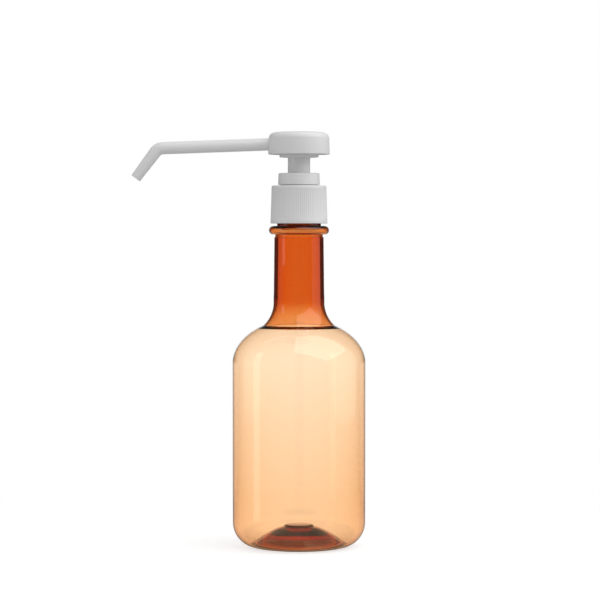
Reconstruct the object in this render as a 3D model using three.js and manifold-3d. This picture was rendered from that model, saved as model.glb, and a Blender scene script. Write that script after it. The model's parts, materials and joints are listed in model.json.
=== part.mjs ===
// A pump bottle: a round amber PET bottle with a long beaded neck, a ribbed screw closure and a
// compact dispensing pump with a round push head and a long, drooping, bent spout.
// Millimetres, +Z up. The origin is on the bottle's axis, on the plane that it stands on.
// The spout points to -X.
import * as THREE from "three";
import { mergeVertices } from "three/addons/utils/BufferGeometryUtils.js";
import Module from "manifold-3d";

// Bottle: body and shoulder
const bodyRadius = 37.9;
const bodyWall = 0.45;
const heelRadius = 14;
const sideHeight = 91.1;
const shoulderRise = 25.5;

// Bottle: base with its push-up dome and the pad left by the moulding gate
const footLand = 1.6;
const domeHeight = 8.6;
const domeFlat = 12;
const domeFootRise = 4.5;
const domeFootLean = 1.8;
const baseThickness = 2.8;
const baseBlendAngle = 55;
const baseBlendLength = 9;
const baseShoulder = 10.4;
const gatePadRadius = 8.6;
const gatePadHeight = 1.6;
const gatePadEdge = 0.5;

// Bottle: neck, flared onto the shoulder, with a bead under the 28 mm finish and its thread
const flareSpread = 5.8;
const flareRadius = 18.4;
const neckSpread = 0.4;
const neckLength = 36.826;
const neckWall = 2.3;
const neckLedge = 1.55;
const neckRootWall = 0.9;
const neckRootLip = 1;
const grooveDepth = 0.5;
const grooveHeight = 1.6;
const beadRadius = 2.43;
const beadLedge = 2.2;
const beadWall = 1.3;
const finishHeight = 18.5;
const finishWall = 1.7;
const mouthEdge = 0.4;
const threadPitch = 4.233;
const threadDepth = 1.1;
const threadRootWidth = 2.4;
const threadCrestWidth = 0.9;
const threadTurns = 1.5;
const threadDrop = 3.6;
const threadRunOut = 30;
const threadSink = 0.4;
const threadFade = 0.2;

// Closure: a screw cap with fine grip ribs, open in the middle for the pump
const closureBeadGap = 1.36;
const closureWall = 1.45;
const closureFlare = 0.65;
const closureTopWall = 1.6;
const closureEdge = 0.7;
const closureThreadTurns = 1.25;
const ribCount = 84;
const ribDepth = 0.3;
const ribBottomBand = 2.6;
const ribTopBand = 1.9;
const ribRunOut = 0.4;

// Gasket and cylinder
const gasketThickness = 1.1;
const flangeThickness = 1.6;
const flangeLedge = 1.5;
const cylinderWall = 1.2;
const cylinderGap = 2.15;
const floorThickness = 1.4;
const socketDepth = 5.3;
const socketWall = 1.5;

// Collar: clips on the cylinder above the closure and guides the stem
const collarLift = 0.8;
const collarHeight = 6.3;
const collarLedge = 1.35;
const collarTaper = 0.3;
const collarTopWall = 1.8;
const collarEdge = 0.7;
const spigotWall = 1.8;

// Dip tube, cut slanting at its foot
const tubeRadius = 3;
const tubeWall = 0.7;
const tubeFootGap = 3;
const tubeCutAngle = 40;

// Valve balls, the cage of the inlet ball, and the return spring round that cage
const inletBallRadius = 2.25;
const ballSeat = 0.5;
const ballLift = 0.9;
const ballClearance = 0.4;
const cageWall = 1.7;
const cageTopWall = 0.9;
const cageTopHole = 1.5;
const cageSlot = 1.2;
const cageGap = 0.8;
const springWire = 0.9;
const springGap = 1.45;
const springTurns = 6;

// Piston, plunger and stem
const stroke = 8;
const strokeClear = 1.5;
const pistonHeight = 4.5;
const pistonWaist = 0.6;
const pistonLip = 1;
const channelRadius = 1.8;
const plungerWall = 2.4;
const plungerLedge = 0.7;
const plungerFlange = 1;
const plungerGrip = 7.5;
const stemWall = 2.05;
const stemClear = 1;
const stemInCore = 4;

// Push head: an inner core on the stem, and a round cover over it
const coreBossWall = 1.6;
const coreRecess = 1.8;
const coreSkirtWall = 1.3;
const coreBossStep = 0.8;
const coreWeb = 0.35;
const coreCap = 1.2;
const headRimLift = 1.7;
const headWall = 1.5;
const headTopWall = 1.95;
const headGap = 3.65;
const headTaper = 0.35;
const headCorner = 3.6;
const headCrown = 0.5;
const headRingWall = 1.2;
const headRingDepth = 6;

// Spout: a tapering tube that droops, turns down and ends in a square cut
const spoutBore = 1.7;
const spoutWall = 1.8;
const spoutTipWall = 1.3;
const spoutDroop = 2.05;
const spoutReach = 80.3;
const spoutBendRadius = 6;
const spoutLegAngle = 53;
const spoutLegLength = 21.3;
const spoutGrip = 3.6;

// Clearances between pieces
const seatGap = 0.05;
const fitGap = 0.1;
const runningGap = 0.05;
const looseGap = 0.3;
const threadGap = 0.5;

// Smoothness of the faceted solids
const roundSides = 36;
const innerSides = 24;
const ballSides = 16;
const springSteps = 10;
const springSides = 6;
const threadSteps = 24;
const spoutSides = 14;
const curveSteps = 5;
const cornerSteps = 4;
const mergeDistance = 1e-4;

const wasm = await Module();
wasm.setup();

const radians = THREE.MathUtils.degToRad;
const degrees = THREE.MathUtils.radToDeg;
const at = (radius, height) => new THREE.Vector2(radius, height);

// Radii of the pump and of the neck that holds it, from the inlet ball outwards
const cageBore = inletBallRadius + ballClearance;
const cageRadius = cageBore + cageWall;
const springRadius = cageRadius + cageGap + springWire / 2;
const boreRadius = springRadius + springWire / 2 + springGap;
const barrelRadius = boreRadius + cylinderWall;
const spigotBore = barrelRadius + fitGap;
const spigotRadius = spigotBore + spigotWall;
const closureHole = spigotRadius + looseGap;
const flangeRadius = closureHole + flangeLedge;
const collarBottomRadius = spigotRadius + collarLedge;
const collarTopRadius = collarBottomRadius - collarTaper;
const mouthBore = barrelRadius + cylinderGap;
const finishRadius = mouthBore + finishWall;
const cavityRadius = finishRadius + threadDepth + threadGap;
const closureTopRadius = cavityRadius + closureWall;
const closureBottomRadius = closureTopRadius + closureFlare;
const beadCentreRadius = finishRadius + beadLedge;
const neckTopRadius = finishRadius + neckLedge;
const neckBaseRadius = neckTopRadius + neckSpread;
const neckRootRadius = neckBaseRadius + flareSpread;

// Radii of the stem, the head and the spout, from the liquid's channel outwards
const plungerRadius = channelRadius + plungerWall;
const plungerFlangeRadius = plungerRadius + plungerLedge;
const outletBallRadius = channelRadius + ballSeat;
const outletChamber = outletBallRadius + ballClearance;
const stemGrip = plungerRadius + fitGap;
const stemRadius = stemGrip + stemWall;
const coreSocket = stemRadius + fitGap;
const coreBoss = coreSocket + coreBossWall;
const coreSkirtBore = coreBoss + coreRecess;
const coreRadius = coreSkirtBore + coreSkirtWall;
const headRingBore = coreRadius + fitGap;
const headRingRadius = headRingBore + headRingWall;
const headRimRadius = headRingRadius + headGap + headWall;
const headTopRadius = headRimRadius - headTaper;
const spoutRadius = spoutBore + spoutWall;
const spoutTipRadius = spoutBore + spoutTipWall;

// Heights of the bottle, from the plane that it stands on
const contactRadius = bodyRadius - heelRadius;
const sideTopZ = heelRadius + sideHeight;
const creaseAngle = degrees(Math.acos(neckRootRadius / bodyRadius));
const creaseZ = sideTopZ + shoulderRise * Math.sin(radians(creaseAngle));
const flareAngle = degrees(Math.acos(1 - flareSpread / flareRadius));
const flareTopZ = creaseZ + flareRadius * Math.sin(radians(flareAngle));
const neckTopZ = flareTopZ + neckLength;
const beadBottomZ = neckTopZ + grooveHeight;
const beadCentreZ = beadBottomZ + beadRadius;
const beadTopZ = beadCentreZ + beadRadius;
const mouthZ = beadTopZ + finishHeight;
const threadStartZ = mouthZ - threadDrop - threadTurns * threadPitch;
const padFootZ = domeHeight + baseThickness;
const gateTopZ = padFootZ + gatePadHeight;

// Heights of what is stacked on the bottle's mouth
const gasketBottomZ = mouthZ + seatGap;
const gasketTopZ = gasketBottomZ + gasketThickness;
const flangeBottomZ = gasketTopZ + seatGap;
const flangeTopZ = flangeBottomZ + flangeThickness;
const closureCeilingZ = flangeTopZ + seatGap;
const closureTopZ = closureCeilingZ + closureTopWall;
const closureBottomZ = beadTopZ + closureBeadGap;
const collarBottomZ = closureTopZ + collarLift;
const collarTopZ = collarBottomZ + collarHeight;
const collarCeilingZ = collarTopZ - collarTopWall;
const cylinderTopZ = collarCeilingZ - looseGap;

// Heights of the moving column, at rest at the top of its stroke
const stemBottomZ = collarCeilingZ;
const pistonTopZ = stemBottomZ - looseGap;
const pistonBottomZ = pistonTopZ - pistonHeight;
const plungerFlangeTopZ = pistonBottomZ + plungerFlange;
const plungerTopZ = stemBottomZ + plungerGrip;
const coreBottomZ = collarTopZ + stroke + stemClear;
const stemTopZ = coreBottomZ + stemInCore;
const coreCeilingZ = stemTopZ + seatGap;
const headRimZ = coreBottomZ + headRimLift;
const spoutAxisZ = coreCeilingZ + coreWeb + spoutRadius + fitGap;
const coreTopZ = spoutAxisZ + spoutRadius + coreCap;
const headCeilingZ = coreTopZ + seatGap;
const headTopZ = headCeilingZ + headTopWall;

// Heights of the valves. A ball rests on the rim of its hole, a little clear of the facets.
const inletHole = inletBallRadius - ballSeat;
const ballRest = (ball, hole) => Math.sqrt(ball * ball - hole * hole) + fitGap;
const inletBallRise = ballRest(inletBallRadius, inletHole);
const cageRise = inletBallRise + inletBallRadius + ballLift + fitGap;
const floorTopZ = pistonBottomZ - stroke - strokeClear - cageTopWall - cageRise;
const floorBottomZ = floorTopZ - floorThickness;
const socketBottomZ = floorBottomZ - socketDepth;
const inletBallZ = floorTopZ + inletBallRise;
const cageCeilingZ = floorTopZ + cageRise;
const outletBallZ = plungerTopZ + ballRest(outletBallRadius, channelRadius);
const outletStopZ = outletBallZ + outletBallRadius + ballLift + fitGap;

// Points of an elliptic arc about a centre in the (radius, height) plane, angles in degrees.
function arc(centre, sizes, from, to, steps) {
  const curve = new THREE.EllipseCurve(
    centre.x, centre.y, sizes.x, sizes.y, radians(from), radians(to), to < from,
  );
  return curve.getPoints(steps);
}

// Points of a smooth curve that leaves and arrives along its two handles.
function blend(start, leave, arrive, end, steps) {
  return new THREE.CubicBezierCurve(start, leave, arrive, end).getPoints(steps);
}

// A closed three.js geometry as a solid that can be joined and cut.
function solidOf(geometry) {
  const bare = geometry.clone();
  bare.deleteAttribute("normal");
  bare.deleteAttribute("uv");
  const merged = mergeVertices(bare, mergeDistance);
  return new wasm.Manifold(
    new wasm.Mesh({
      numProp: 3,
      vertProperties: merged.attributes.position.array,
      triVerts: new Uint32Array(merged.index.array),
    }),
  );
}

// A solid turned about +Z. The profile runs anticlockwise in the (radius, height) plane, and it
// starts and ends on the axis or closes on itself.
function turned(profile, sides = roundSides) {
  const last = profile[profile.length - 1];
  const outline = last.x > 0 ? [...profile, profile[0]] : profile;
  return solidOf(new THREE.LatheGeometry(outline, sides).rotateX(Math.PI / 2));
}

// A straight ring between two radii and two heights.
function ring(inner, outer, bottom, top, sides = roundSides) {
  return turned([at(inner, bottom), at(outer, bottom), at(outer, top), at(inner, top)], sides);
}

// A round bar from one point to another.
function bar(from, to, radius, sides = spoutSides) {
  const along = to.clone().sub(from);
  const geometry = new THREE.CylinderGeometry(radius, radius, along.length(), sides);
  const up = new THREE.Vector3(0, 1, 0);
  geometry.applyQuaternion(new THREE.Quaternion().setFromUnitVectors(up, along.clone().normalize()));
  const middle = from.clone().add(to).multiplyScalar(1 / 2);
  return solidOf(geometry.translate(middle.x, middle.y, middle.z));
}

// A rectangular block about a centre.
function block(width, depth, height, x, y, z) {
  return solidOf(new THREE.BoxGeometry(width, depth, height).translate(x, y, z));
}

// A skin over a row of outlines with as many points each, closed by its two flat ends. The
// outlines run anticlockwise seen against the way that the row goes.
function loft(outlines) {
  const count = outlines[0].length;
  const lastStart = (outlines.length - 1) * count;
  const triangles = [];
  for (let start = 0; start < lastStart; start += count) {
    for (let side = 0; side < count; side += 1) {
      const here = start + side;
      const beside = start + ((side + 1) % count);
      triangles.push(here, beside, beside + count);
      triangles.push(here, beside + count, here + count);
    }
  }
  for (let side = 1; side + 1 < count; side += 1) {
    triangles.push(0, side + 1, side);
    triangles.push(lastStart, lastStart + side, lastStart + side + 1);
  }
  const positions = outlines.flat().flatMap((point) => point.toArray());
  const geometry = new THREE.BufferGeometry();
  geometry.setAttribute("position", new THREE.Float32BufferAttribute(positions, 3));
  geometry.setIndex(triangles);
  return solidOf(geometry);
}

// One turn-by-turn thread ridge. It stands out from the wall where reach is positive, and into
// the bore where it is negative, and it fades in and out over its run-out at both ends.
function threadRidge(wallRadius, reach, startZ, turns) {
  const steps = Math.ceil(turns * threadSteps);
  const fade = threadRunOut / 360;
  const sunk = wallRadius - Math.sign(reach) * threadSink;
  const faded = wallRadius - Math.sign(reach) * threadFade;
  const outlines = [];
  for (let step = 0; step <= steps; step += 1) {
    const turn = (step / steps) * turns;
    const share = Math.min(1, turn / fade, (turns - turn) / fade);
    const height = startZ + turn * threadPitch;
    const angle = 2 * Math.PI * turn;
    const crest = THREE.MathUtils.lerp(faded, wallRadius + reach, share);
    const section = [
      at(sunk, -threadRootWidth / 2),
      at(crest, -threadCrestWidth / 2),
      at(crest, threadCrestWidth / 2),
      at(sunk, threadRootWidth / 2),
    ];
    const ordered = reach > 0 ? section.reverse() : section;
    outlines.push(
      ordered.map(({ x, y }) => new THREE.Vector3(x * Math.cos(angle), x * Math.sin(angle), height + y)),
    );
  }
  return loft(outlines);
}

// The bottle, one stretch-blown piece: its skin from the dome under the base, up the outside to
// the mouth, and down the inside to the gate pad.
function bottle() {
  const footInner = contactRadius - footLand;
  const innerRadius = bodyRadius - bodyWall;
  const heelCentre = at(contactRadius, heelRadius);
  const flareCentre = at(neckBaseRadius + flareRadius, flareTopZ);
  const shoulderCentre = at(0, sideTopZ);
  const innerHeel = heelRadius - bodyWall;
  const flareTurn = radians(flareAngle);
  const neckInner = neckBaseRadius - neckWall;
  const innerFlare =
    flareRadius + (neckWall - neckRootWall * Math.cos(flareTurn)) / (1 - Math.cos(flareTurn));
  const innerFlareZ = flareTopZ + (innerFlare - flareRadius - neckRootWall) * Math.sin(flareTurn);
  const innerFlareCentre = at(neckInner + innerFlare, innerFlareZ);
  const beadCentre = at(beadCentreRadius, beadCentreZ);
  const beadHollow = beadRadius - beadWall;
  const lipAngle = degrees(Math.acos((neckRootRadius + neckRootLip) / innerRadius));
  const heelInside = arc(heelCentre, at(innerHeel, innerHeel), 0, -baseBlendAngle, curveSteps);
  const blendStart = heelInside[heelInside.length - 1];
  const blendAngle = radians(baseBlendAngle);
  const blendLeave = at(
    blendStart.x - baseBlendLength * Math.sin(blendAngle),
    blendStart.y - baseBlendLength * Math.cos(blendAngle),
  );
  const profile = [
    ...blend(
      at(0, domeHeight), at(domeFlat, domeHeight), at(footInner - domeFootLean, domeFootRise),
      at(footInner, 0), curveSteps,
    ),
    ...arc(heelCentre, at(heelRadius, heelRadius), -90, 0, curveSteps),
    ...arc(shoulderCentre, at(bodyRadius, shoulderRise), 0, creaseAngle, curveSteps),
    ...arc(flareCentre, at(flareRadius, flareRadius), 180 + flareAngle, 180, curveSteps),
    at(neckTopRadius, neckTopZ),
    at(neckTopRadius - grooveDepth, neckTopZ + grooveDepth),
    at(neckTopRadius - grooveDepth, beadBottomZ),
    ...arc(beadCentre, at(beadRadius, beadRadius), -90, 90, curveSteps),
    at(finishRadius, beadTopZ),
    at(finishRadius, mouthZ - mouthEdge),
    at(finishRadius - mouthEdge, mouthZ),
    at(mouthBore, mouthZ),
    at(mouthBore, beadCentreZ + beadHollow),
    ...arc(beadCentre, at(beadHollow, beadHollow), 90, -90, curveSteps),
    at(neckTopRadius - neckWall, beadCentreZ - beadHollow),
    ...arc(innerFlareCentre, at(innerFlare, innerFlare), 180, 180 + flareAngle, curveSteps),
    ...arc(shoulderCentre, at(innerRadius, shoulderRise - bodyWall), lipAngle, 0, curveSteps),
    ...heelInside,
    ...blend(
      blendStart, blendLeave, at(gatePadRadius + baseShoulder, padFootZ), at(gatePadRadius, padFootZ),
      curveSteps,
    ),
    at(gatePadRadius, gateTopZ - gatePadEdge),
    at(gatePadRadius - gatePadEdge, gateTopZ),
    at(0, gateTopZ),
  ];
  return turned(profile).add(threadRidge(finishRadius, threadDepth, threadStartZ, threadTurns));
}

// The screw closure. Its own thread runs half a pitch from the bottle's, flank beside flank.
function closure() {
  const lean = -closureFlare / (closureTopZ - closureBottomZ);
  const ribBottomZ = closureBottomZ + ribBottomBand;
  const ribTopZ = closureTopZ - ribTopBand;
  const rows = [
    { height: closureBottomZ, inset: 0, groove: 0 },
    { height: ribBottomZ, inset: 0, groove: 0 },
    { height: ribBottomZ + ribRunOut, inset: 0, groove: ribDepth },
    { height: ribTopZ - ribRunOut, inset: 0, groove: ribDepth },
    { height: ribTopZ, inset: 0, groove: 0 },
    { height: closureTopZ - closureEdge, inset: 0, groove: 0 },
    { height: closureTopZ, inset: closureEdge, groove: 0 },
  ];
  const outlines = rows.map(({ height, inset, groove }) => {
    const radius = closureBottomRadius + lean * (height - closureBottomZ) - inset;
    return Array.from({ length: 2 * ribCount }, (_, corner) => {
      const angle = (corner * Math.PI) / ribCount;
      const reach = radius - (corner % 2) * groove;
      return new THREE.Vector3(reach * Math.cos(angle), reach * Math.sin(angle), height);
    });
  });
  const inside = turned([
    at(0, closureBottomZ - looseGap),
    at(cavityRadius, closureBottomZ - looseGap),
    at(cavityRadius, closureCeilingZ),
    at(closureHole, closureCeilingZ),
    at(closureHole, closureTopZ + looseGap),
    at(0, closureTopZ + looseGap),
  ]);
  const ridgeStartZ = threadStartZ - threadPitch / 2;
  const ridge = threadRidge(cavityRadius, -threadDepth, ridgeStartZ, closureThreadTurns);
  return loft(outlines).subtract(inside).add(ridge);
}

// The soft ring between the bottle's rim and the cylinder's flange.
function gasket() {
  const bore = barrelRadius + looseGap;
  return ring(bore, flangeRadius, gasketBottomZ, gasketTopZ, innerSides);
}

// The pump cylinder: flange, barrel, floor with the inlet seat, and the socket of the dip tube.
function cylinder() {
  const socketBore = tubeRadius + fitGap;
  const socketRadius = socketBore + socketWall;
  return turned([
    at(inletHole, floorBottomZ),
    at(socketBore, floorBottomZ),
    at(socketBore, socketBottomZ),
    at(socketRadius, socketBottomZ),
    at(socketRadius, floorBottomZ),
    at(barrelRadius, floorBottomZ),
    at(barrelRadius, flangeBottomZ),
    at(flangeRadius, flangeBottomZ),
    at(flangeRadius, flangeTopZ),
    at(barrelRadius, flangeTopZ),
    at(barrelRadius, cylinderTopZ),
    at(boreRadius, cylinderTopZ),
    at(boreRadius, floorTopZ),
    at(inletHole, floorTopZ),
  ], innerSides);
}

// The collar: a spigot through the closure, and a cap with the hole that guides the stem.
function collar() {
  const stemHole = stemRadius + fitGap;
  const edgeCentre = at(collarTopRadius - collarEdge, collarTopZ - collarEdge);
  return turned([
    at(spigotBore, flangeTopZ + seatGap),
    at(spigotRadius, flangeTopZ + seatGap),
    at(spigotRadius, collarBottomZ),
    at(collarBottomRadius, collarBottomZ),
    ...arc(edgeCentre, at(collarEdge, collarEdge), 0, 90, cornerSteps),
    at(stemHole, collarTopZ),
    at(stemHole, collarCeilingZ),
    at(spigotBore, collarCeilingZ),
  ]);
}

// The dip tube, from the cylinder's socket to just above the base, with a slanting foot.
function dipTube() {
  const footZ = gateTopZ + tubeFootGap;
  const tube = ring(tubeRadius - tubeWall, tubeRadius, footZ, floorBottomZ - seatGap, spoutSides);
  const size = 4 * tubeRadius;
  const wedge = new THREE.BoxGeometry(size, size, size);
  wedge.translate(0, 0, -size / 2);
  wedge.rotateY(radians(tubeCutAngle));
  wedge.translate(0, 0, footZ + tubeRadius * Math.tan(radians(tubeCutAngle)));
  return tube.subtract(solidOf(wedge));
}

// A valve ball.
function ball(radius, height) {
  const geometry = new THREE.SphereGeometry(radius, ballSides, ballSides / 2);
  return solidOf(geometry.translate(0, 0, height));
}

// The cage over the inlet ball: a short tube with a stop across its top, slotted so that the
// liquid can pass when the ball is up.
function ballCage() {
  const cageTopZ = cageCeilingZ + cageTopWall;
  const cage = turned([
    at(cageBore, floorTopZ + seatGap),
    at(cageRadius, floorTopZ + seatGap),
    at(cageRadius, cageTopZ),
    at(cageTopHole, cageTopZ),
    at(cageTopHole, cageCeilingZ),
    at(cageBore, cageCeilingZ),
  ], ballSides);
  const slotHeight = cageTopWall + inletBallRadius;
  const slotZ = cageTopZ - slotHeight / 2;
  const across = 2 * cageRadius - cageWall;
  const slots = block(across, cageSlot, slotHeight, 0, 0, slotZ).add(
    block(cageSlot, across, slotHeight, 0, 0, slotZ),
  );
  return cage.subtract(slots);
}

// Points along the middle of the return spring's wire, from the cylinder's floor to the piston.
function springPoints() {
  const bottom = floorTopZ + seatGap + springWire / 2;
  const top = pistonBottomZ - seatGap - springWire / 2;
  const steps = springTurns * springSteps;
  return Array.from({ length: steps + 1 }, (_, step) => {
    const angle = (2 * Math.PI * step) / springSteps;
    const height = THREE.MathUtils.lerp(bottom, top, step / steps);
    return new THREE.Vector3(springRadius * Math.cos(angle), springRadius * Math.sin(angle), height);
  });
}

// The return spring: one unbroken round wire.
function returnSpring() {
  const outlines = springPoints().map((point) => {
    const out = new THREE.Vector3(point.x, point.y, 0).normalize();
    return Array.from({ length: springSides }, (_, side) => {
      const angle = (2 * Math.PI * side) / springSides;
      const corner = point.clone().addScaledVector(out, (springWire / 2) * Math.cos(angle));
      corner.z += (springWire / 2) * Math.sin(angle);
      return corner;
    });
  });
  return loft(outlines.reverse());
}

// The piston: a soft ring with a lip at each end that wipes the bore, hollowed below for the
// plunger's flange.
function piston() {
  const lipRadius = boreRadius - runningGap;
  const waistRadius = lipRadius - pistonWaist;
  const hole = plungerRadius + runningGap;
  const hollow = plungerFlangeRadius + runningGap;
  const hollowTopZ = plungerFlangeTopZ + seatGap;
  return turned([
    at(hollow, pistonBottomZ),
    at(lipRadius, pistonBottomZ),
    at(lipRadius, pistonBottomZ + pistonLip),
    at(waistRadius, pistonBottomZ + pistonLip + pistonWaist),
    at(waistRadius, pistonTopZ - pistonLip - pistonWaist),
    at(lipRadius, pistonTopZ - pistonLip),
    at(lipRadius, pistonTopZ),
    at(hole, pistonTopZ),
    at(hole, hollowTopZ),
    at(hollow, hollowTopZ),
  ], innerSides);
}

// The plunger: a hollow pin that holds the piston under the stem, with the outlet seat on top.
function plunger() {
  return turned([
    at(channelRadius, pistonBottomZ),
    at(plungerFlangeRadius, pistonBottomZ),
    at(plungerFlangeRadius, plungerFlangeTopZ),
    at(plungerRadius, plungerFlangeTopZ),
    at(plungerRadius, plungerTopZ),
    at(channelRadius, plungerTopZ),
  ], innerSides);
}

// The stem: the plain tube that shows between collar and head. The outlet ball works in the
// chamber inside it, and a slot across the stop lets the liquid past.
function stem() {
  const chamberBottomZ = plungerTopZ + seatGap;
  const tube = turned([
    at(stemGrip, stemBottomZ),
    at(stemRadius, stemBottomZ),
    at(stemRadius, stemTopZ),
    at(channelRadius, stemTopZ),
    at(channelRadius, outletStopZ),
    at(outletChamber, outletStopZ),
    at(outletChamber, chamberBottomZ),
    at(stemGrip, chamberBottomZ),
  ], innerSides);
  const slotBottomZ = outletStopZ - outletBallRadius / 2;
  const slotHeight = stemTopZ + looseGap - slotBottomZ;
  const slotZ = slotBottomZ + slotHeight / 2;
  return tube.subtract(block(2 * outletChamber, cageSlot, slotHeight, 0, 0, slotZ));
}

// The spout's centre line, in the plane through the bottle's axis.
const droop = radians(spoutDroop);
const leg = radians(spoutLegAngle);
const runWay = new THREE.Vector3(-Math.cos(droop), 0, -Math.sin(droop));
const legWay = new THREE.Vector3(-Math.cos(leg), 0, -Math.sin(leg));
const runFoot = new THREE.Vector3(0, 0, spoutAxisZ);
const onRun = (reach) => runFoot.clone().addScaledVector(runWay, reach / Math.cos(droop));
const spoutStart = onRun(coreRadius - spoutGrip);

// Stations along the centre line: a straight run, a round bend and a straight leg.
function spoutPath() {
  const corner = onRun(spoutReach);
  const set = spoutBendRadius * Math.tan((leg - droop) / 2);
  const bendStart = corner.clone().addScaledVector(runWay, -set);
  const below = (way) => new THREE.Vector3(-way.z, 0, way.x).multiplyScalar(spoutBendRadius);
  const centre = bendStart.clone().add(below(runWay));
  const bendSteps = 2 * cornerSteps;
  const stations = [{ point: spoutStart, way: runWay, radius: spoutRadius }];
  for (let step = 0; step <= bendSteps; step += 1) {
    const angle = THREE.MathUtils.lerp(droop, leg, step / bendSteps);
    const way = new THREE.Vector3(-Math.cos(angle), 0, -Math.sin(angle));
    stations.push({ point: centre.clone().sub(below(way)), way, radius: spoutRadius });
  }
  const tip = corner.clone().addScaledVector(legWay, spoutLegLength);
  stations.push({ point: tip, way: legWay, radius: spoutTipRadius });
  return stations;
}

// A round tube skin over the spout's stations.
function spoutSkin(stations, radiusOf) {
  const side = new THREE.Vector3(0, 1, 0);
  const outlines = stations.map((station) => {
    const across = new THREE.Vector3().crossVectors(station.way, side);
    return Array.from({ length: spoutSides }, (_, corner) => {
      const angle = (2 * Math.PI * corner) / spoutSides;
      return station.point.clone()
        .addScaledVector(side, radiusOf(station) * Math.cos(angle))
        .addScaledVector(across, radiusOf(station) * Math.sin(angle));
    });
  });
  return loft(outlines);
}

// The spout, a bent tube with a plain bore.
function spout() {
  const stations = spoutPath();
  const last = stations.length - 1;
  const through = stations.map((station) => ({ ...station }));
  through[0].point = stations[0].point.clone().addScaledVector(runWay, -looseGap);
  through[last].point = stations[last].point.clone().addScaledVector(legWay, looseGap);
  return spoutSkin(stations, ({ radius }) => radius).subtract(spoutSkin(through, () => spoutBore));
}

// The head's core: sockets for the stem and the spout, and the channel between them.
function actuatorCore() {
  const body = turned([
    at(0, coreCeilingZ),
    at(coreSocket, coreCeilingZ),
    at(coreSocket, coreBottomZ + coreBossStep),
    at(coreBoss, coreBottomZ + coreBossStep),
    at(coreBoss, coreCeilingZ),
    at(coreSkirtBore, coreCeilingZ),
    at(coreSkirtBore, coreBottomZ),
    at(coreRadius, coreBottomZ),
    at(coreRadius, coreTopZ),
    at(0, coreTopZ),
  ]);
  const riserFoot = new THREE.Vector3(0, 0, coreCeilingZ - looseGap);
  const riser = bar(riserFoot, onRun(0), channelRadius);
  const channel = bar(onRun(0), onRun(coreRadius), spoutBore);
  const socketStart = spoutStart.clone().addScaledVector(runWay, -seatGap);
  const socket = bar(socketStart, onRun(2 * coreRadius), spoutRadius + fitGap, innerSides);
  return body.subtract(riser).subtract(channel).subtract(socket);
}

// The head's cover: a shallow round cap with a slightly crowned top. An inner ring grips the
// core, and the wall has a hole for the spout.
function headCover() {
  const cornerCentre = at(headTopRadius - headCorner, headTopZ - headCrown - headCorner);
  const innerCorner = headCorner - headWall;
  const ringBottomZ = headCeilingZ - headRingDepth;
  const cover = turned([
    at(0, headCeilingZ),
    at(headRingBore, headCeilingZ),
    at(headRingBore, ringBottomZ),
    at(headRingRadius, ringBottomZ),
    at(headRingRadius, cornerCentre.y + innerCorner),
    ...arc(cornerCentre, at(innerCorner, innerCorner), 90, 0, cornerSteps),
    at(headRimRadius - headWall, headRimZ),
    at(headRimRadius, headRimZ),
    ...arc(cornerCentre, at(headCorner, headCorner), 0, 90, curveSteps),
    ...arc(at(0, headTopZ - headCrown), at(cornerCentre.x, headCrown), 0, 90, cornerSteps).slice(1),
  ]);
  return cover.subtract(bar(spoutStart, onRun(2 * headRimRadius), spoutRadius + fitGap, innerSides));
}

// Finishes
const amber = new THREE.MeshStandardMaterial({
  color: 0xd98a3c, roughness: 0.08, metalness: 0, transparent: true, opacity: 0.55,
});
const whiteGloss = new THREE.MeshStandardMaterial({ color: 0xe6e6e6, roughness: 0.35, metalness: 0 });
const whiteSoft = new THREE.MeshStandardMaterial({ color: 0xdcdcdc, roughness: 0.6, metalness: 0 });
const clearTube = new THREE.MeshStandardMaterial({
  color: 0xf4f4f2, roughness: 0.2, metalness: 0, transparent: true, opacity: 0.4,
});
const steel = new THREE.MeshStandardMaterial({ color: 0xb8bcc0, roughness: 0.3, metalness: 1 });
const glassBall = new THREE.MeshStandardMaterial({ color: 0xcfd8d6, roughness: 0.1, metalness: 0 });
const softSeal = new THREE.MeshStandardMaterial({ color: 0xf0eee8, roughness: 0.7, metalness: 0 });

const pumpBottle = new THREE.Group();

// Adds a solid to the assembly as a named piece.
function add(name, solid, material) {
  const { numProp, vertProperties, triVerts } = solid.getMesh();
  const geometry = new THREE.BufferGeometry();
  const data = new THREE.InterleavedBuffer(vertProperties, numProp);
  geometry.setAttribute("position", new THREE.InterleavedBufferAttribute(data, 3, 0));
  geometry.setIndex(new THREE.BufferAttribute(triVerts, 1));
  const mesh = new THREE.Mesh(geometry, material);
  mesh.name = name;
  pumpBottle.add(mesh);
}

add("bottle", bottle(), amber);
add("closure", closure(), whiteGloss);
add("gasket", gasket(), softSeal);
add("cylinder", cylinder(), whiteSoft);
add("collar", collar(), whiteGloss);
add("dip_tube", dipTube(), clearTube);
add("inlet_ball", ball(inletBallRadius, inletBallZ), glassBall);
add("ball_cage", ballCage(), whiteSoft);
add("return_spring", returnSpring(), steel);
add("piston", piston(), softSeal);
add("plunger", plunger(), whiteSoft);
add("stem", stem(), whiteGloss);
add("outlet_ball", ball(outletBallRadius, outletBallZ), glassBall);
add("actuator_core", actuatorCore(), whiteGloss);
add("head_cover", headCover(), whiteGloss);
add("spout", spout(), whiteGloss);

export default pumpBottle;
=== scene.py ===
"""A pump bottle: clear amber with a long neck, a ribbed screw closure and a sprung pump."""

import json
import math

import bpy
from mathutils import Matrix, Quaternion, Vector
from mathutils.geometry import interpolate_bezier


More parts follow.
